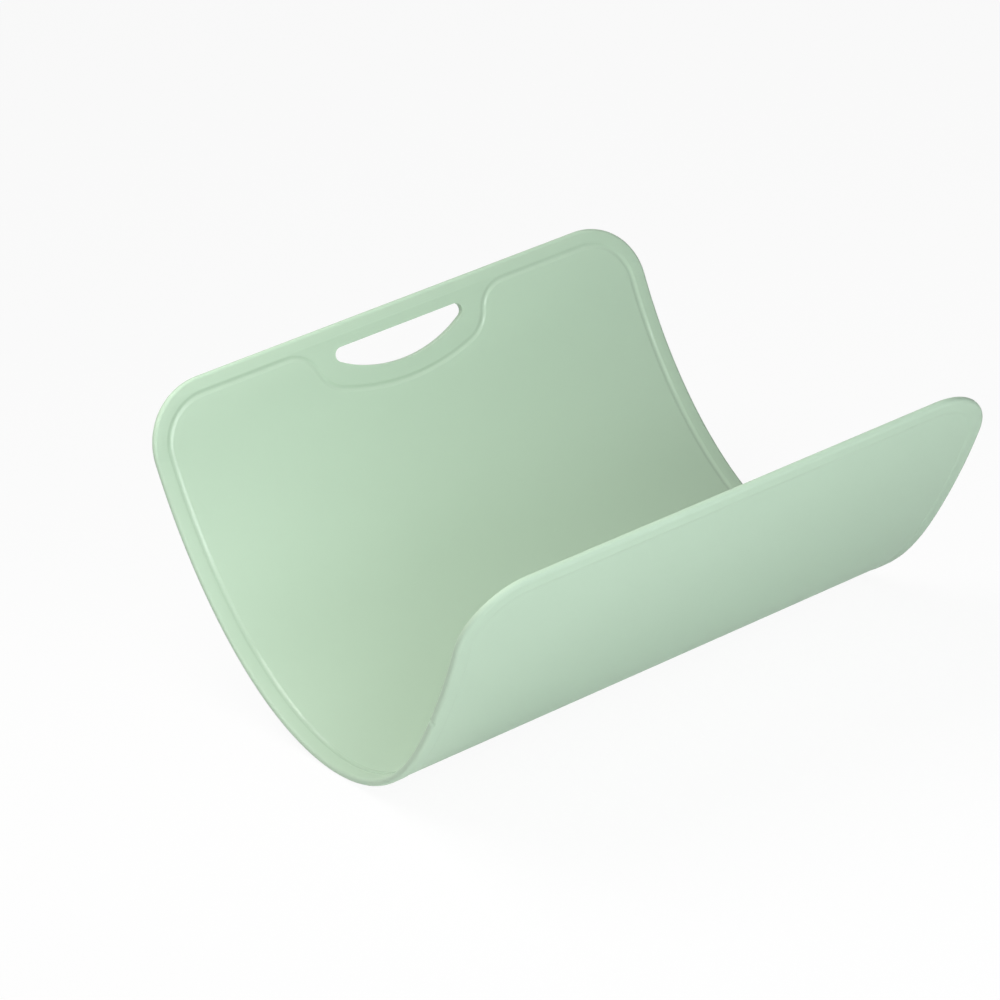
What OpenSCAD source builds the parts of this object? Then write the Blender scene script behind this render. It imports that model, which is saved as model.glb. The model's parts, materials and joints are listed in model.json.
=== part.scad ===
// Flexible cutting mat, held in the broad curl in which food is tipped off it.
// The mat is one thin moulding. It is cut across into strips that turn on hinge
// lines, so that the sheet can unroll flat or curl further. Every hinge line turns
// by the same angle. X runs along the hand slot, the slot is at the back (+Y), the
// food side faces up, and the origin is under the middle of the strip it rests on.

/* [Sheet] */
// Length of the flat mat, from the slot's edge to the free edge
mat_l = 350; // [330:1:400]
// Width of the mat, along the slot
mat_w = 225; // [200:1:300]
// Thickness of the sheet
sheet_t = 3; // [2.4:0.1:3.6]
// Radius of the four corners, seen from above
corner_r = 26; // [20:1:40]
// Width of the bevel round the underside's edge
bevel_w = 1.2; // [0.6:0.1:2]
// Height of that bevel up the edge
bevel_h = 1; // [0.4:0.1:1.3]
// Bevel round the food side's edge
food_bevel = 0.8; // [0.3:0.1:1]

/* [Juice groove] */
// Distance from the edge to the middle of the groove
groove_inset = 6.6; // [6:0.1:12]
// Width of the groove at the surface
groove_w = 2.6; // [2:0.1:4]
// Depth of the groove on the food side
groove_deep = 0.5; // [0.3:0.05:0.8]
// Depth of the shallow line on the underside
back_groove_deep = 0.3; // [0.2:0.05:0.4]
// Sheet left between the slot and the middle of the groove that passes below it
slot_margin = 7.5; // [5:0.1:10]
// Radius of the groove's long bow below the slot
dip_r = 85; // [70:1:110]
// Half the angle of that bow
dip_half_turn = 20; // [18:1:22]
// Radius where the bow turns up at each end
dip_corner_r = 14; // [12:0.5:16]
// Radius where the groove leaves its straight run
dip_shoulder_r = 12; // [10:0.5:16]

/* [Hand slot] */
// Bar of sheet between the mat's edge and the slot
grip_bar = 9.2; // [9:0.1:16]
// Length of the slot from end to end
slot_l = 58; // [50:1:64]
// Depth of the slot at its middle
slot_deep = 13.4; // [12:0.1:16]
// Radius at the slot's two ends
slot_end_r = 3; // [2:0.1:4]

/* [Bend] */
// Number of strips that the sheet is cut into
strips = 24; // [20:1:28]
// Open line between two strips
hinge_gap = 0.4; // [0.35:0.05:0.5]
// Sheet behind the slot's edge that stays flat in the hand
flat_l = 24; // [20:1:30]
// Radius of the bend where it starts
start_r = 170; // [150:5:200]
// Sheet over which it tightens to the upper radius
upper_l = 56; // [50:1:60]
// Radius of the bend above the trough
upper_r = 130; // [115:5:150]
// Sheet over which it tightens to the trough's radius
lower_l = 50; // [45:1:55]
// Radius of the bend in the trough
trough_r = 89; // [84:1:100]
// Sheet that the trough's even bend takes
trough_l = 90; // [85:1:95]
// Radius of the bend in the slack stretch before the free edge
slack_r = 480; // [400:10:600]
// Sheet over which the trough eases to that slack radius
ease_l = 55; // [50:1:60]
// Radius of the bend at the free edge
free_r = 300; // [250:10:400]

/* [Hidden] */
$fn = 64;

mat_green = [0.70, 0.82, 0.71];
half_w = mat_w / 2;
straight = half_w - corner_r;
over = 1;

// Where along the sheet each radius of the bend holds; it runs evenly between them
upper_at = flat_l + upper_l;
trough_start = upper_at + lower_l;
trough_end = trough_start + trough_l;
slack_at = trough_end + ease_l;
bend_places = [flat_l, upper_at, trough_start, trough_end, slack_at, mat_l];
bend_radii = [start_r, upper_r, trough_r, trough_r, slack_r, free_r];
bends = [for (i = [0:len(bend_places) - 1]) [bend_places[i], 1 / bend_radii[i]]];

// Angle in degrees that the sheet has turned at distance d from the slot's edge
function piece_turn(a, b) = (b - a) * (lookup(a, bends) + lookup(b, bends)) / 2 * 180 / PI;
function turned(d, i = 0) =
    i >= len(bend_places) - 1 || d <= bend_places[i] ? 0
    : piece_turn(bend_places[i], min(d, bend_places[i + 1])) + turned(d, i + 1);

// Distance at which the sheet has turned by an angle, found by halving
function distance_at(angle, low, high, steps = 40) =
    steps == 0 ? (low + high) / 2
    : turned((low + high) / 2) < angle ? distance_at(angle, (low + high) / 2, high, steps - 1)
    : distance_at(angle, low, (low + high) / 2, steps - 1);

hinge_turn = turned(mat_l) / (strips - 1);
hinge_at = [for (i = [0:strips - 2]) distance_at((i + 0.5) * hinge_turn, 0, mat_l)];
function strip_start(k) = k == 0 ? 0 : hinge_at[k - 1];
function strip_end(k) = k == strips - 1 ? mat_l : hinge_at[k];

// The strip that lies on the table, and the hinge lines placed up both sides from it.
// It is the one nearly below the mat's centre of mass, a little past the middle strip.
rest_share = 0.55;
rest_strip = floor(strips * rest_share);
rest_middle = (strip_start(rest_strip) + strip_end(rest_strip)) / 2;
function front_hinge(i) =
    i == rest_strip ? [rest_middle - hinge_at[i], sheet_t / 2]
    : front_hinge(i - 1) + (hinge_at[i] - hinge_at[i - 1])
        * [-cos((i - rest_strip) * hinge_turn), sin((i - rest_strip) * hinge_turn)];
function back_hinge(i) =
    i == rest_strip - 1 ? [rest_middle - hinge_at[i], sheet_t / 2]
    : back_hinge(i + 1) + (hinge_at[i + 1] - hinge_at[i])
        * [cos((rest_strip - 1 - i) * hinge_turn), sin((rest_strip - 1 - i) * hinge_turn)];

// The slot's long bow, tangent to its two round ends
slot_half = slot_l / 2 - slot_end_r;
slot_end_y = grip_bar + slot_end_r;
slot_rise = slot_deep - slot_end_r;
slot_bow_r = (slot_half * slot_half + slot_rise * slot_rise - slot_end_r * slot_end_r)
    / (2 * (slot_rise - slot_end_r));
slot_bow_y = grip_bar + slot_deep - slot_bow_r;
slot_bow_turn = atan2(slot_half, slot_end_y - slot_bow_y);

// The groove's way round the slot: bow, turned-up corner and shoulder on each side
dip_y = grip_bar + slot_deep + slot_margin - dip_r;
dip_corner = [(dip_r - dip_corner_r) * sin(dip_half_turn),
    dip_y + (dip_r - dip_corner_r) * cos(dip_half_turn)];
shoulder_y = groove_inset + dip_shoulder_r;
shoulder_reach = dip_shoulder_r + dip_corner_r;
shoulder_drop = shoulder_y - dip_corner[1];
shoulder_x = dip_corner[0] + sqrt(shoulder_reach * shoulder_reach - shoulder_drop * shoulder_drop);
shoulder_turn = acos(shoulder_drop / shoulder_reach);

// Points along an arc, whose facets miss it by arc_miss at most. One that goes on from
// another arc leaves out its own first point.
arc_miss = 0.02;
function arc(centre, r, from, to, goes_on = false) =
    let (n = ceil(abs(to - from) / (2 * acos(1 - arc_miss / r))))
    [for (i = [goes_on ? 1 : 0:n])
        centre + r * [cos(from + (to - from) * i / n), sin(from + (to - from) * i / n)]];

// Flat shapes. Here x runs across the mat and y is the distance from the slot's edge.

module outline() {
    for (x = [-1, 1], y = [corner_r, mat_l - corner_r])
        translate([x * straight, y]) circle(r = corner_r);
    translate([-half_w, corner_r]) square([mat_w, mat_l - 2 * corner_r]);
    translate([-straight, 0]) square([2 * straight, mat_l]);
}

module slot_outline() {
    polygon(concat(
        arc([slot_half, slot_end_y], slot_end_r, -90, 90 - slot_bow_turn),
        arc([0, slot_bow_y], slot_bow_r, 90 - slot_bow_turn, 90 + slot_bow_turn, true),
        arc([-slot_half, slot_end_y], slot_end_r, 90 + slot_bow_turn, 270, true)
    ));
}

// Right half of the groove's way round the mat, from below the slot to the free edge,
// at a distance outside its middle line
function groove_half(out) = concat(
    arc([0, dip_y], dip_r - out, 90, 90 - dip_half_turn),
    arc(dip_corner, dip_corner_r - out, 90 - dip_half_turn, 90 - shoulder_turn, true),
    arc([shoulder_x, shoulder_y], dip_shoulder_r + out, 270 - shoulder_turn, 270, true),
    arc([straight, corner_r], corner_r - groove_inset + out, -90, 0),
    arc([straight, mat_l - corner_r], corner_r - groove_inset + out, 0, 90)
);
module groove_outline(out) {
    right = groove_half(out);
    polygon(concat(right, [for (p = [len(right) - 1:-1:1]) [-right[p][0], right[p][1]]]));
}
module groove(deep) {
    translate([0, 0, -deep]) linear_extrude(height = deep + over) difference() {
        groove_outline(groove_w / 2);
        groove_outline(-groove_w / 2);
    }
}

// A profile run along an arc, or along a straight line in x or y. The profile's x
// points away from the arc's middle, to +y on a line in x, and to +x on one in y.
module run_arc(centre, path_r, from, turn) {
    translate([centre[0], centre[1], 0])
        rotate([0, 0, from]) rotate_extrude(angle = turn) translate([path_r, 0]) children();
}
module run_x(x, y, l) {
    translate([x, y, 0]) rotate([90, 0, 90]) linear_extrude(height = l) children();
}
module run_y(x, y, l) {
    translate([x, y + l, 0]) rotate([90, 0, 0]) linear_extrude(height = l) children();
}

// What comes off round the edge of the side that lies at z = 0
module bevel_profile(w, h) {
    polygon([[-w, 0], [0, h], [over, h], [over, -over], [-w, -over]]);
}
module bevel(w, h) {
    for (side = [0, 1]) mirror([side, 0, 0]) {
        run_y(half_w, corner_r, mat_l - 2 * corner_r) bevel_profile(w, h);
        run_arc([straight, corner_r], corner_r, -90, 90) bevel_profile(w, h);
        run_arc([straight, mat_l - corner_r], corner_r, 0, 90) bevel_profile(w, h);
    }
    run_x(-straight, mat_l, 2 * straight) bevel_profile(w, h);
    mirror([0, 1, 0]) run_x(-straight, 0, 2 * straight) bevel_profile(w, h);
}

module flat_sheet() {
    difference() {
        linear_extrude(height = sheet_t) outline();
        translate([0, 0, -over]) linear_extrude(height = sheet_t + 2 * over) slot_outline();
        translate([0, 0, sheet_t]) groove(groove_deep);
        mirror([0, 0, 1]) groove(back_groove_deep);
        bevel(bevel_w, bevel_h);
        translate([0, 0, sheet_t]) mirror([0, 0, 1]) bevel(food_bevel, food_bevel);
    }
}

// One strip of the flat sheet, with its share of the open line at each hinge
module flat_strip(k) {
    from = k == 0 ? -over : strip_start(k) + hinge_gap / 2;
    to = k == strips - 1 ? mat_l + over : strip_end(k) - hinge_gap / 2;
    intersection() {
        flat_sheet();
        translate([-half_w - over, from, -over])
            cube([mat_w + 2 * over, to - from, sheet_t + 2 * over]);
    }
}

// A strip turned into its place in the bend
module strip(k) {
    seat = k > rest_strip ? front_hinge(k - 1) : k < rest_strip ? back_hinge(k) : [0, sheet_t / 2];
    anchor = k > rest_strip ? strip_start(k) : k < rest_strip ? strip_end(k) : rest_middle;
    color(mat_green)
        translate([0, seat[0], seat[1]])
            rotate([(rest_strip - k) * hinge_turn, 0, 0])
                mirror([0, 1, 0])
                    translate([0, -anchor, -sheet_t / 2])
                        flat_strip(k);
}

for (k = [0:strips - 1]) {
    strip(k);
}
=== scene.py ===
# %% [markdown]
# A flexible cutting mat: one thin, matte, pale green moulding, held in the broad curl
# in which chopped food is tipped off it. It has a raised rim outside a shallow juice
# groove, round corners, and a D-shaped hand slot beside one short edge.
#
# The CAD frame holds the mat as strips on hinge lines, so that it can unroll and curl.
# Here the strips are hidden behind one smooth skin. The skin is modelled flat, as the
# mould makes it, cut into lengths that each hold one hinge line, and then
# laid along the curl.

# %% Load the frame
import json
import math

import bpy
import numpy as np
from mathutils import Matrix, Vector

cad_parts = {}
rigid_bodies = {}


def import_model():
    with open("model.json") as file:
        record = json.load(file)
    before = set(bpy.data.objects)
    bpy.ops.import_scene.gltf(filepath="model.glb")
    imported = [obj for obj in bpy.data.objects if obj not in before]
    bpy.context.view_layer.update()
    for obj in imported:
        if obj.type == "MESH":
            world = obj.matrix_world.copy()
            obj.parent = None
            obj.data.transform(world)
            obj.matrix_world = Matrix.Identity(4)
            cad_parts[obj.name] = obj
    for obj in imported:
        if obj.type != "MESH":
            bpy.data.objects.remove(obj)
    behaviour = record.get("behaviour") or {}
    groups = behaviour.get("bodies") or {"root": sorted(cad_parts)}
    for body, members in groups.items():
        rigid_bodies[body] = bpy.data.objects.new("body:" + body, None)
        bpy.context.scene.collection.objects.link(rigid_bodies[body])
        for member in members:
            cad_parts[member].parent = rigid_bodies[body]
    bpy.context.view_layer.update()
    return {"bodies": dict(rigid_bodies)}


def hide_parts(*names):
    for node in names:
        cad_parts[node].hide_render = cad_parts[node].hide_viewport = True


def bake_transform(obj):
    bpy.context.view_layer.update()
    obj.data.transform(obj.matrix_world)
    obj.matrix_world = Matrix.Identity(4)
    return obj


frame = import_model()
MM = 0.001

# %% [markdown]
# The mat's real sizes, in millimetres. The large ones are the sizes that the strips
# have. The fine ones give the moulding its own forms: edges rounded on both sides, a
# soft hollow for a groove, a low step along the underside's edge, a rounded lip on the
# slot, and a small nick on one side, probably where the mould was filled.

# %% Sizes of the flat mat
MAT_L, MAT_W, SHEET_T = 350.0, 225.0, 3.0
CORNER_R = 26.0
GROOVE_INSET, GROOVE_W, GROOVE_DEEP = 6.6, 3.3, 0.28
BACK_STEP_W, BACK_STEP_DEEP = 1.8, 0.26
SLOT_MARGIN, DIP_R, DIP_HALF_TURN = 7.5, 85.0, 20.0
DIP_CORNER_R, DIP_SHOULDER_R = 14.0, 12.0
GRIP_BAR, SLOT_L, SLOT_DEEP, SLOT_END_R = 9.2, 58.0, 13.4, 3.0
FOOD_EDGE_R = 1.3
UNDER_EDGE_W, UNDER_EDGE_H = 1.6, 1.3
SLOT_EDGE_R = 0.5
NICK_AT, NICK_WIDE, NICK_DEEP = (-112.5, 278.5), 0.9, 0.7

# %% [markdown]
# The curl. The sheet is flat where it is gripped, then its radius tightens into the
# trough and eases again towards the free edge. Curvature runs evenly between a few
# places along the sheet, so its turn is a sum of trapezoids, and its shape comes from
# stepping along it. Every hinge line of the frame lies where the sheet has turned by
# the same further angle.

# %% The curl of the sheet
FLAT_L, UPPER_L, LOWER_L, TROUGH_L, EASE_L = 24.0, 56.0, 50.0, 90.0, 55.0
BEND_PLACES = np.array([FLAT_L, *np.cumsum([UPPER_L, LOWER_L, TROUGH_L, EASE_L]) + FLAT_L, MAT_L])
BEND_RADII = np.array([170.0, 130.0, 89.0, 89.0, 480.0, 300.0])
STEP = 0.05
along = np.arange(0.0, MAT_L + STEP / 2, STEP)
curvature = np.where(along < FLAT_L, 0.0, np.interp(along, BEND_PLACES, 1 / BEND_RADII))
turned = np.concatenate([[0.0], np.cumsum((curvature[1:] + curvature[:-1]) / 2 * STEP)])

STRIPS = len(frame["bodies"])
strip_names = [
    "grip_strip", *(f"flex_strip_{k:02d}" for k in range(1, STRIPS - 1)), "free_edge_strip"
]
REST_STRIP = 13
hinge_turn = turned[-1] / (STRIPS - 1)
hinge_at = np.interp((np.arange(STRIPS - 1) + 0.5) * hinge_turn, turned, along)
strip_ends = np.array([0.0, *hinge_at, MAT_L])
rest_middle = strip_ends[REST_STRIP:REST_STRIP + 2].mean()
lean = turned - REST_STRIP * hinge_turn
lowest = np.interp(0.0, lean, along)
step_y = -np.cos((lean[1:] + lean[:-1]) / 2) * STEP
step_z = np.sin((lean[1:] + lean[:-1]) / 2) * STEP
curl_y = np.concatenate([[0.0], np.cumsum(step_y)])
curl_z = np.concatenate([[0.0], np.cumsum(step_z)])
curl_y += rest_middle - lowest - np.interp(lowest, along, curl_y)
curl_z += SHEET_T / 2 - np.interp(lowest, along, curl_z)


def place_on_curl(flat):
    """Where points of the flat mat, as x, distance from the slot's edge and height, lie
    once the sheet is curled. Millimetres in, metres in the frame's own axes out."""
    x, distance, height = flat.T
    angle = np.interp(distance, along, lean)
    up = height - SHEET_T / 2
    y = np.interp(distance, along, curl_y) + up * np.sin(angle)
    z = np.interp(distance, along, curl_z) + up * np.cos(angle)
    return np.column_stack([x, y, z]) * MM


print("strips:", STRIPS, "turn at each hinge line:", round(math.degrees(hinge_turn), 3), "degrees")

# %% [markdown]
# Helpers for modelling by hand in code. Everything is deselected before a primitive is
# added, because operators act on whatever is selected. Outlines are drawn as plain
# lists of points along arcs, and each becomes one flat face.

# %% Helpers
def deselect_all():
    """Nothing selected, and object mode."""
    if bpy.context.object and bpy.context.object.mode != "OBJECT":
        bpy.ops.object.mode_set(mode="OBJECT")
    bpy.ops.object.select_all(action="DESELECT")


def work_on(obj):
    """Only this object selected and active."""
    deselect_all()
    obj.select_set(True)
    bpy.context.view_layer.objects.active = obj


ARC_STEP = 4.0
LEAST_SIDES = 3


def arc(centre, radius, start, end, goes_on=False):
    """Points along an arc, angles in degrees, closer together on a wide one. One that
    goes on from another arc leaves out its own first point."""
    finer = max(1.0, math.sqrt(radius / CORNER_R))
    count = max(LEAST_SIDES, math.ceil(abs(end - start) / ARC_STEP * finer))
    angles = np.radians(np.linspace(start, end, count + 1)[1 if goes_on else 0:])
    return [(centre[0] + radius * math.cos(a), centre[1] + radius * math.sin(a)) for a in angles]


def face_of(name, points, height):
    """One flat face with this outline: a circle of as many points, moved onto it."""
    deselect_all()
    bpy.ops.mesh.primitive_circle_add(vertices=len(points), fill_type="NGON")
    face = bpy.context.object
    face.name = name
    for vertex, point in zip(face.data.vertices, points):
        vertex.co = (point[0], point[1], height)
    return face


def inset_steps(face, steps, outward=False):
    """Insets the face again and again. Each step is how far in and how far up."""
    work_on(face)
    bpy.ops.object.mode_set(mode="EDIT")
    bpy.ops.mesh.select_all(action="SELECT")
    for inward, up in steps:
        bpy.ops.mesh.inset(thickness=inward, depth=up, use_outset=outward, use_even_offset=True)
    bpy.ops.object.mode_set(mode="OBJECT")


def delete_selected_face(face):
    """Leaves the rings and takes out the innermost face, which insets leave selected."""
    work_on(face)
    bpy.ops.object.mode_set(mode="EDIT")
    bpy.ops.mesh.delete(type="ONLY_FACE")
    bpy.ops.object.mode_set(mode="OBJECT")


# %% [markdown]
# The outlines of the mat, the slot and the groove. The groove follows the edge and dips
# round the slot, with a long bow below it and a soft shoulder on each side.

# %% Outlines
HALF_W = MAT_W / 2
STRAIGHT = HALF_W - CORNER_R
CORNER_SEGMENTS = 32
ON_MIDDLE = 1e-6


def mirrored(right_half):
    """A closed outline from its right half, which starts and ends on the middle line or
    beside it."""
    left = [(-x, y) for x, y in reversed(right_half) if x > ON_MIDDLE]
    return right_half + left


def mat_face(name, height):
    """The mat's outline as one flat face: a plane at its size, with its corners bevelled."""
    deselect_all()
    bpy.ops.mesh.primitive_plane_add(size=1, location=(0, MAT_L / 2, height))
    face = bpy.context.object
    face.name = name
    bpy.ops.object.mode_set(mode="EDIT")
    bpy.ops.transform.resize(value=(MAT_W, MAT_L, 1), center_override=(0, MAT_L / 2, height))
    bpy.ops.mesh.bevel(offset=CORNER_R, segments=CORNER_SEGMENTS, affect="VERTICES")
    bpy.ops.object.mode_set(mode="OBJECT")
    bpy.ops.object.transform_apply(location=True, rotation=True, scale=True)
    return face


slot_half = SLOT_L / 2 - SLOT_END_R
slot_rise = SLOT_DEEP - SLOT_END_R
slot_end_y = GRIP_BAR + SLOT_END_R
slot_bow_r = (slot_half**2 + slot_rise**2 - SLOT_END_R**2) / (2 * (slot_rise - SLOT_END_R))
slot_bow_y = GRIP_BAR + SLOT_DEEP - slot_bow_r
slot_bow_turn = math.degrees(math.atan2(slot_half, slot_end_y - slot_bow_y))
slot_outline = (
    arc((slot_half, slot_end_y), SLOT_END_R, -90, 90 - slot_bow_turn)
    + arc((0, slot_bow_y), slot_bow_r, 90 - slot_bow_turn, 90 + slot_bow_turn, True)
    + arc((-slot_half, slot_end_y), SLOT_END_R, 90 + slot_bow_turn, 270, True)
)

dip_y = GRIP_BAR + SLOT_DEEP + SLOT_MARGIN - DIP_R
dip_reach = DIP_R - DIP_CORNER_R
dip_turn = math.radians(DIP_HALF_TURN)
dip_corner = (dip_reach * math.sin(dip_turn), dip_y + dip_reach * math.cos(dip_turn))
shoulder_y = GROOVE_INSET + DIP_SHOULDER_R
shoulder_drop = shoulder_y - dip_corner[1]
shoulder_reach = DIP_SHOULDER_R + DIP_CORNER_R
shoulder_x = dip_corner[0] + math.sqrt(shoulder_reach**2 - shoulder_drop**2)
shoulder_turn = math.degrees(math.acos(shoulder_drop / shoulder_reach))


def groove_outline(out):
    """The groove's middle line, moved outward by a distance."""
    corner = CORNER_R - GROOVE_INSET + out
    return mirrored(
        arc((0, dip_y), DIP_R - out, 90, 90 - DIP_HALF_TURN)
        + arc(dip_corner, DIP_CORNER_R - out, 90 - DIP_HALF_TURN, 90 - shoulder_turn, True)
        + arc((shoulder_x, shoulder_y), DIP_SHOULDER_R + out, 270 - shoulder_turn, 270, True)
        + arc((STRAIGHT, CORNER_R), corner, -90, 0)
        + arc((STRAIGHT, MAT_L - CORNER_R), corner, 0, 90)
    )


# %% [markdown]
# One side of the sheet is one skin: rings of faces inset from the mat's outline round
# its edge over, rings inset along the groove press it in and bring it back up, and
# rings outset from the slot's outline round the slot's lip over. The flat land between
# the three is then filled in one go. On the underside the rings along the groove only go
# down, and the field inside them stays that much lower.

# %% A skin for one side of the sheet
WAVE_STEPS = 12
EDGE_STEPS = 6
SMOOTH_FROM = 1 / 3
SAME_PLACE = 1e-4


def quarter_round(width, height, count=EDGE_STEPS):
    """Insets that round an edge over: each goes in and up along a quarter ellipse."""
    angles = np.linspace(0, math.pi / 2, count + 1)
    return list(zip(np.diff(width * (1 - np.cos(angles))), np.diff(height * np.sin(angles))))


def wave_steps(width, deep, turn, count=WAVE_STEPS):
    """Insets that go down along a wave. A whole turn comes up again, as the groove does,
    and half a turn stays down, as the step on the underside does."""
    heights = -deep * (1 - np.cos(np.linspace(0, turn, count + 1))) / 2
    return [(width / count, up) for up in np.diff(heights)]


def select_loops(skin, height):
    """Selects the free edges that lie at this height."""
    work_on(skin)
    bpy.ops.object.mode_set(mode="EDIT")
    bpy.ops.mesh.select_mode(type="EDGE")
    bpy.ops.mesh.select_all(action="DESELECT")
    bpy.ops.mesh.select_non_manifold(extend=False)
    bpy.ops.object.mode_set(mode="OBJECT")
    vertices = skin.data.vertices
    for edge in skin.data.edges:
        if any(abs(vertices[v].co.z - height) > SAME_PLACE for v in edge.vertices):
            edge.select = False
    for face in skin.data.polygons:
        face.select = False


def mark_channel(groove, height, smooth):
    """Marks how smooth the surface is: 1 from a third of the groove's depth down, 0 on
    the land beside it, and 0 all over where nothing is smooth."""
    channel = groove.data.attributes.new("channel", "FLOAT", "POINT")
    depths = np.array([height - vertex.co.z for vertex in groove.data.vertices])
    share = np.clip(depths / (GROOVE_DEEP * SMOOTH_FROM), 0, 1) * smooth
    channel.data.foreach_set("value", share)


def make_skin(name, height, edge, wave, smooth):
    """One side of the sheet, facing up, with its rim at this height."""
    rim = mat_face(name, height - sum(up for _, up in edge))
    inset_steps(rim, edge)
    delete_selected_face(rim)
    groove = face_of(name + "_groove", groove_outline(GROOVE_W / 2), height)
    inset_steps(groove, wave)
    mark_channel(groove, height, smooth)
    lip = face_of(name + "_slot", slot_outline, height - SLOT_EDGE_R)
    inset_steps(lip, quarter_round(SLOT_EDGE_R, SLOT_EDGE_R), outward=True)
    delete_selected_face(lip)
    work_on(rim)
    groove.select_set(True)
    lip.select_set(True)
    bpy.ops.object.join()
    select_loops(rim, height)
    bpy.ops.object.mode_set(mode="EDIT")
    bpy.ops.mesh.fill(use_beauty=False)
    bpy.ops.object.mode_set(mode="OBJECT")
    print(name, "faces:", len(rim.data.polygons))
    return rim


# %% [markdown]
# Two such skins make the sheet. The underside's is made facing up and mirrored, so that
# one helper serves both. Two bands of faces then join their free edges, one round the
# mat and one inside the slot. With that the sheet is closed, as a mesh for printing or
# for a clean cut has to be.

# %% The flat sheet
food_side = make_skin(
    "food_side", SHEET_T, quarter_round(FOOD_EDGE_R, FOOD_EDGE_R),
    wave_steps(GROOVE_W, GROOVE_DEEP, 2 * math.pi), smooth=True,
)
underside = make_skin(
    "underside", 0.0, quarter_round(UNDER_EDGE_W, UNDER_EDGE_H),
    wave_steps(BACK_STEP_W, BACK_STEP_DEEP, math.pi), smooth=False,
)
work_on(underside)
bpy.ops.object.mode_set(mode="EDIT")
bpy.ops.mesh.select_all(action="SELECT")
bpy.ops.transform.mirror(constraint_axis=(False, False, True), center_override=(0, 0, 0))
bpy.ops.object.mode_set(mode="OBJECT")
work_on(food_side)
underside.select_set(True)
bpy.ops.object.join()
sheet = food_side
sheet.name = "flat_sheet"
BESIDE_SLOT = 2.0


def in_slot(x, y):
    """Whether a point of the flat mat is on the slot's edge and not on the mat's."""
    past_start = y - GRIP_BAR
    return (abs(x) < SLOT_L / 2 + BESIDE_SLOT
            and -BESIDE_SLOT < past_start < SLOT_DEEP + BESIDE_SLOT)


def bridge_edges(obj, wanted):
    """Joins the free loops whose points are wanted with one band of faces."""
    work_on(obj)
    bpy.ops.object.mode_set(mode="EDIT")
    bpy.ops.mesh.select_mode(type="EDGE")
    bpy.ops.mesh.select_all(action="DESELECT")
    bpy.ops.mesh.select_non_manifold(extend=False)
    bpy.ops.object.mode_set(mode="OBJECT")
    vertices = obj.data.vertices
    for edge in obj.data.edges:
        edge.select = edge.select and all(wanted(*vertices[v].co[:2]) for v in edge.vertices)
    bpy.ops.object.mode_set(mode="EDIT")
    bpy.ops.mesh.bridge_edge_loops()
    bpy.ops.object.mode_set(mode="OBJECT")


bridge_edges(sheet, in_slot)
bridge_edges(sheet, lambda x, y: not in_slot(x, y))
work_on(sheet)
bpy.ops.object.mode_set(mode="EDIT")
bpy.ops.mesh.select_all(action="SELECT")
bpy.ops.mesh.normals_make_consistent(inside=False)
bpy.ops.object.mode_set(mode="OBJECT")
print("flat sheet faces:", len(sheet.data.polygons))

# %% [markdown]
# Each length of the skin runs from the middle of one strip to the middle of the next, so
# that it holds one hinge line. It is cut from the flat sheet and closed at its cuts, cut
# into narrow rows so that it can take the curl, and laid along it. A thin tongue reaches
# from its first cut into the length before it, so that no gap opens between the two when
# the mat unrolls. The nick is pressed into the edge before the length is laid along the
# curl. Where a point lay on the flat mat stays with it as an attribute, for the moulded
# grain.

# %% Cutting and curling
ROW = 1.0
SEAM_ROW = 0.2
TONGUE_L, TONGUE_INSET = 0.12, 0.015
CUT_TOLERANCE = 1e-6
SMOOTH_BELOW = 35.0


def cut_across(obj, distance, fill=False, **clear):
    """Cuts the mesh straight across the mat at this distance."""
    bpy.ops.object.mode_set(mode="EDIT")
    bpy.ops.mesh.select_all(action="SELECT")
    bpy.ops.mesh.bisect(
        plane_co=(0, distance, 0), plane_no=(0, 1, 0), use_fill=fill,
        threshold=CUT_TOLERANCE, **clear,
    )
    bpy.ops.object.mode_set(mode="OBJECT")


def add_tongue(obj, distance):
    """Draws the closed cut at this distance out into a slightly smaller tongue."""
    bpy.ops.object.mode_set(mode="EDIT")
    bpy.ops.mesh.select_mode(type="FACE")
    bpy.ops.mesh.select_all(action="DESELECT")
    bpy.ops.object.mode_set(mode="OBJECT")
    vertices = obj.data.vertices
    for face in obj.data.polygons:
        face.select = all(abs(vertices[v].co.y - distance) < SAME_PLACE for v in face.vertices)
    bpy.ops.object.mode_set(mode="EDIT")
    bpy.ops.mesh.inset(thickness=TONGUE_INSET)
    bpy.ops.mesh.extrude_region_move(TRANSFORM_OT_translate={"value": (0, -TONGUE_L, 0)})
    bpy.ops.object.mode_set(mode="OBJECT")


def press_nick(flat):
    """Moves the points of the side edge inwards round one place, by a bell curve."""
    on_side = flat[:, 0] < NICK_AT[0] + NICK_WIDE
    flat[:, 0] += NICK_DEEP * np.exp(-((flat[:, 1] - NICK_AT[1]) / NICK_WIDE) ** 2) * on_side


def length_of_skin(number, start, end):
    """One length of the flat sheet, cut into rows and laid along the curl."""
    deselect_all()
    length = sheet.copy()
    length.data = sheet.data.copy()
    length.name = f"mat_sheet_{number:02d}"
    bpy.context.collection.objects.link(length)
    work_on(length)
    if start > 0:
        cut_across(length, start, fill=True, clear_inner=True)
    if end < MAT_L:
        cut_across(length, end, fill=True, clear_outer=True)
    rows = math.ceil((end - start - 2 * SEAM_ROW) / ROW)
    for row in np.linspace(start + SEAM_ROW, end - SEAM_ROW, rows + 1):
        cut_across(length, row)
    if start > 0:
        add_tongue(length, start)
    mesh = length.data
    flat = np.array([vertex.co for vertex in mesh.vertices])
    attribute = mesh.attributes.new("flat", "FLOAT_VECTOR", "POINT")
    attribute.data.foreach_set("vector", flat.astype(np.float32).ravel())
    press_nick(flat)
    mesh.vertices.foreach_set("co", place_on_curl(flat).astype(np.float32).ravel())
    mesh.update()
    work_on(length)
    bpy.ops.object.shade_smooth_by_angle(angle=math.radians(SMOOTH_BELOW))
    return length


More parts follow.
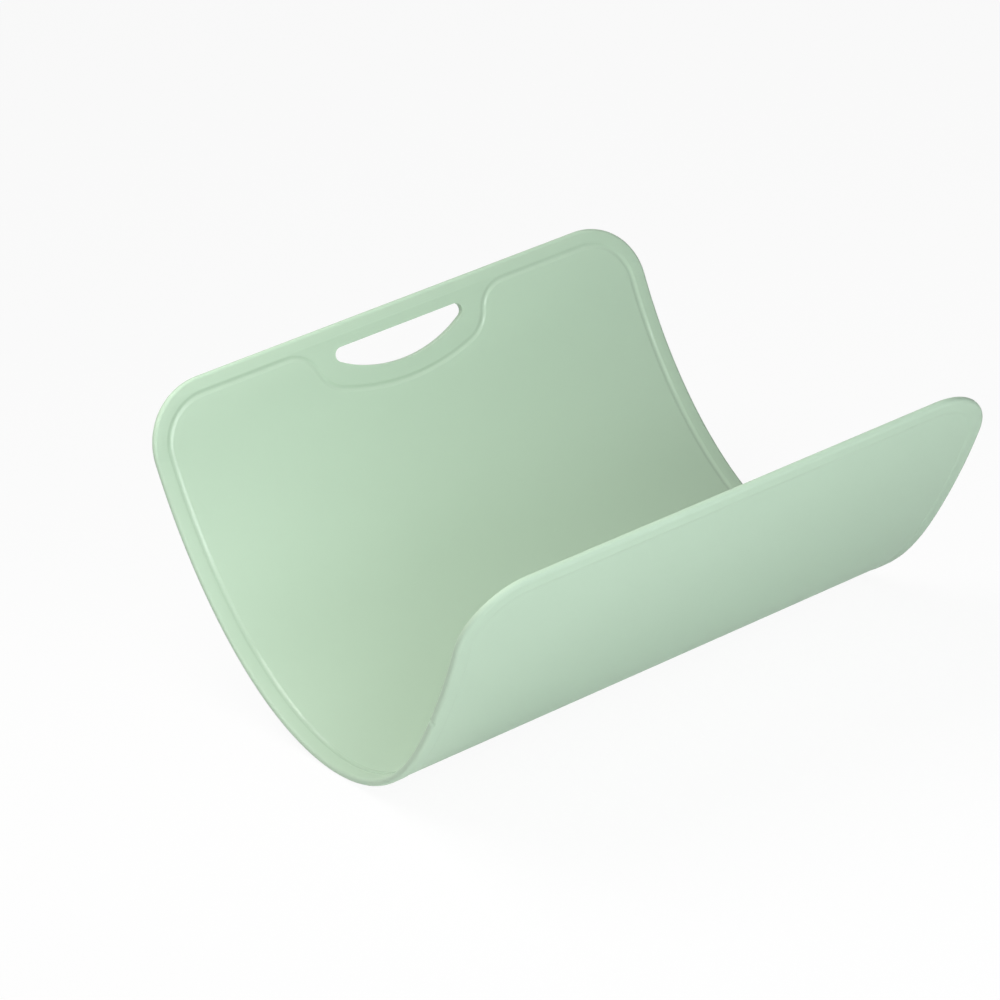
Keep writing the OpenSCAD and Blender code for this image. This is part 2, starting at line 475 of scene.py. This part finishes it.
middles = (strip_ends[1:] + strip_ends[:-1]) / 2
seams = [0.0, *middles[1:-1], MAT_L]
lengths = [length_of_skin(k + 1, seams[k], seams[k + 1]) for k in range(STRIPS - 1)]
bpy.data.objects.remove(sheet)
print("lengths:", len(lengths), "faces:", sum(len(piece.data.polygons) for piece in lengths))

# %% [markdown]
# Each length holds its own hinge line. For each, the span along the curl over which its
# bend would be spread is worked out, reaching a little past both of its ends; the span is
# not used further. Its placing is baked into its points, and the strips are hidden.

# %% Hinge spans of the lengths
SPREAD = math.sqrt(3) / 2
AHEAD = 0.1
for k, piece in enumerate(lengths):
    hinge, spread = hinge_at[k], SPREAD * (middles[k + 1] - middles[k])
    centre, ahead = (
        Vector(point) for point in place_on_curl(
            np.array([[0, hinge, SHEET_T / 2], [0, hinge + AHEAD, SHEET_T / 2]]))
    )
    way = (ahead - centre).normalized()
    start = centre - way * (hinge - middles[k] + spread) * MM
    end = centre + way * (middles[k + 1] - hinge + spread) * MM
    strip_names[k + 1]
    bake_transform(piece)
    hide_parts(*strip_names[k:k + 1] if k < STRIPS - 2 else strip_names[k:])

# %% [markdown]
# Materials read as formulas: a socket is wrapped so that it can be added and multiplied,
# and one method makes any node from its settings and inputs.

# %% Material helper
class Value:
    """A node's output, with arithmetic."""

    def __init__(self, look, socket):
        self.look, self.socket = look, socket

    def calc(self, operation, other, flip=False):
        """A maths node with this value and another one or a number."""
        pair = (other, self) if flip else (self, other)
        return self.look.node("ShaderNodeMath", {"operation": operation}, dict(enumerate(pair)))

    def __add__(self, other):
        return self.calc("ADD", other)

    def __sub__(self, other):
        return self.calc("SUBTRACT", other)

    def __mul__(self, other):
        return self.calc("MULTIPLY", other)

    def __rsub__(self, other):
        return self.calc("SUBTRACT", other, flip=True)

    __radd__, __rmul__ = __add__, __mul__


class Look:
    """The nodes of a material or of the world."""

    def __init__(self, owner):
        owner.use_nodes = True
        self.owner, self.tree = owner, owner.node_tree

    def feed(self, node, inputs):
        """Links values to a node's inputs and sets numbers on them."""
        for key, value in inputs.items():
            if isinstance(value, Value):
                self.tree.links.new(value.socket, node.inputs[key])
            else:
                node.inputs[key].default_value = value

    def node(self, kind, settings=None, inputs=None, output=0):
        """Makes a node and gives one of its outputs."""
        node = self.tree.nodes.new(kind)
        for key, value in (settings or {}).items():
            setattr(node, key, value)
        self.feed(node, inputs or {})
        return Value(self, node.outputs[output])


# %% [markdown]
# The mat is a matte, pale green plastic that takes a fine grain from its mould. A smooth
# noise in two greens a few steps apart gives it the soft clouds of a large moulding, and
# the same noise shifts its roughness a little. A second, fine noise goes through a bump
# for the grain. Both read the flat mat's own coordinates, so they bend with it. The
# groove is polished, and a bright line runs in it where the light catches it.

# %% Mat plastic
def linear(*rgb):
    """A colour from its 0 to 255 values as seen on a screen."""
    return tuple(
        v / 12.92 if v <= 0.04045 else ((v + 0.055) / 1.055) ** 2.4 for v in (c / 255 for c in rgb)
    ) + (1.0,)


DARKER_GREEN, LIGHTER_GREEN = linear(186, 210, 186), linear(190, 213, 190)
GRAIN_SCALE, CLOUD_SCALE = 1.6, 0.012
LAND_ROUGHNESS, CLOUD_ROUGHNESS, GROOVE_POLISH = 0.5, 0.06, 0.4
plastic = Look(bpy.data.materials.new("mat_plastic"))
on_mat = plastic.node("ShaderNodeAttribute", {"attribute_name": "flat"}, output="Vector")
channel = plastic.node("ShaderNodeAttribute", {"attribute_name": "channel"}, output="Fac")
grain = plastic.node(
    "ShaderNodeTexNoise", {}, {"Vector": on_mat, "Scale": GRAIN_SCALE, "Detail": 3.0}
)
clouds = plastic.node(
    "ShaderNodeTexNoise", {}, {"Vector": on_mat, "Scale": CLOUD_SCALE, "Detail": 2.0}
)
# A Mix node's input 0 is its factor, and 6 and 7 are its two colours. Output 2 is a colour.
tone = plastic.node(
    "ShaderNodeMix", {"data_type": "RGBA"},
    {6: DARKER_GREEN, 7: LIGHTER_GREEN, 0: clouds}, output=2,
)
roughness = clouds * CLOUD_ROUGHNESS + LAND_ROUGHNESS - channel * GROOVE_POLISH
bump = plastic.node(
    "ShaderNodeBump", {}, {"Height": grain, "Strength": 0.12, "Distance": 0.00005}
)
plastic.feed(plastic.tree.nodes["Principled BSDF"], {
    "Base Color": tone, "Roughness": roughness, "Normal": bump,
    "IOR": 1.49, "Specular IOR Level": 0.35,
})
for piece in lengths:
    piece.data.materials.clear()
    piece.data.materials.append(plastic.owner)
print("plastic nodes:", len(plastic.tree.nodes))

# %% [markdown]
# A plain pale floor and soft studio light. The floor and the world show near white to
# the camera and in reflections, and their glow hardly reaches the mat, so the lamps give
# it its shades: a warm one over the trough, cool ones from the front for the tall end
# with the slot and for the underside below the free edge, two small ones for the glints
# in the groove, and soft ones from the left and from behind. The camera is where the
# photograph's is, worked out from the mat's outline: a long lens, a little above, tilted
# to the right.

# %% Floor, light and camera
FLOOR_SIZE = 6.0
WHITENESS = 0.93
FILL = 0.04
PAPER_WHITE, PAPER_ROUGHNESS = linear(245, 245, 245), 0.9
deselect_all()
bpy.ops.mesh.primitive_plane_add(size=FLOOR_SIZE)
floor = bpy.context.object
floor.name = "floor"


def seen_or_reflected(look):
    """1 where a surface is seen by the camera or in a reflection, 0 where it only lights."""
    rays = [
        look.node("ShaderNodeLightPath", output=name)
        for name in ("Is Camera Ray", "Is Glossy Ray", "Is Transmission Ray")
    ]
    return rays[0] + rays[1] + rays[2]


paper = Look(bpy.data.materials.new("floor_paper"))
paper_shader = paper.tree.nodes["Principled BSDF"]
paper.feed(paper_shader, {"Base Color": PAPER_WHITE, "Roughness": PAPER_ROUGHNESS})
glow = paper.node("ShaderNodeEmission", {}, {"Color": (1, 1, 1, 1), "Strength": 1.0})
lit_or_white = paper.node("ShaderNodeMixShader", {}, {
    0: seen_or_reflected(paper) * WHITENESS, 1: Value(paper, paper_shader.outputs[0]), 2: glow,
})
paper.feed(paper.tree.nodes["Material Output"], {"Surface": lit_or_white})
floor.data.materials.append(paper.owner)

world = bpy.data.worlds.new("studio")
bpy.context.scene.world = world
studio = Look(world)
studio.feed(studio.tree.nodes["Background"], {
    "Color": (1, 1, 1, 1), "Strength": seen_or_reflected(studio) * (1 - FILL) + FILL,
})

WARM, NEUTRAL, COOL = (1.02, 1.0, 0.97), (1.0, 1.0, 1.0), (0.97, 1.0, 1.035)
LAMPS_FACE = (0, 0, 0.08)


def soft_light(name, at, size, power, colour):
    """A square lamp that faces the mat and is out of the camera's sight."""
    deselect_all()
    bpy.ops.object.light_add(type="AREA", location=at)
    lamp = bpy.context.object
    lamp.name = name
    lamp.data.size = size
    lamp.data.energy = power
    lamp.data.color = colour
    lamp.visible_camera = False
    way = Vector(LAMPS_FACE) - Vector(at)
    lamp.rotation_euler = way.to_track_quat("-Z", "Y").to_euler()
    return lamp


lamps = [
    soft_light("overhead", (-0.18, 0.03, 0.45), 0.3, 1.33, WARM),
    soft_light("front", (-0.36, -1.08, 0.43), 0.6, 5.1, COOL),
    soft_light("near_front", (-0.10, -0.42, 0.45), 0.3, 0.3, COOL),
    soft_light("low_front", (-0.02, -0.45, 0.20), 0.3, 0.33, COOL),
    soft_light("low_glint", (0.08, -1.15, 0.46), 0.15, 0.6, COOL),
    soft_light("high_glint", (0.08, -1.0, 0.73), 0.15, 0.3, COOL),
    soft_light("left", (-0.93, 0.20, 0.75), 0.4, 0.7, WARM),
    soft_light("back", (-0.20, 0.75, 1.0), 0.6, 2.0, NEUTRAL),
]
print("lamps:", len(lamps), "watts in all:", round(sum(lamp.data.energy for lamp in lamps), 2))

CAMERA_AT = (-0.6637, -1.1927, 0.6570)
CAMERA_LOOKS = (0.4344, 0.8102, -0.3937)
CAMERA_TILT = 10.5
CAMERA_LENS = 144.0
CAMERA_NEAREST = 0.01
deselect_all()
bpy.ops.object.camera_add(location=CAMERA_AT)
camera = bpy.context.object
camera.data.lens = CAMERA_LENS
camera.data.clip_start = CAMERA_NEAREST
looks = Vector(CAMERA_LOOKS).to_track_quat("-Z", "Y").to_matrix().to_4x4()
tilt = Matrix.Rotation(-math.radians(CAMERA_TILT), 4, "Z")
camera.matrix_world = Matrix.Translation(CAMERA_AT) @ looks @ tilt
bpy.context.scene.camera = camera
bpy.context.scene.view_settings.view_transform = "Standard"
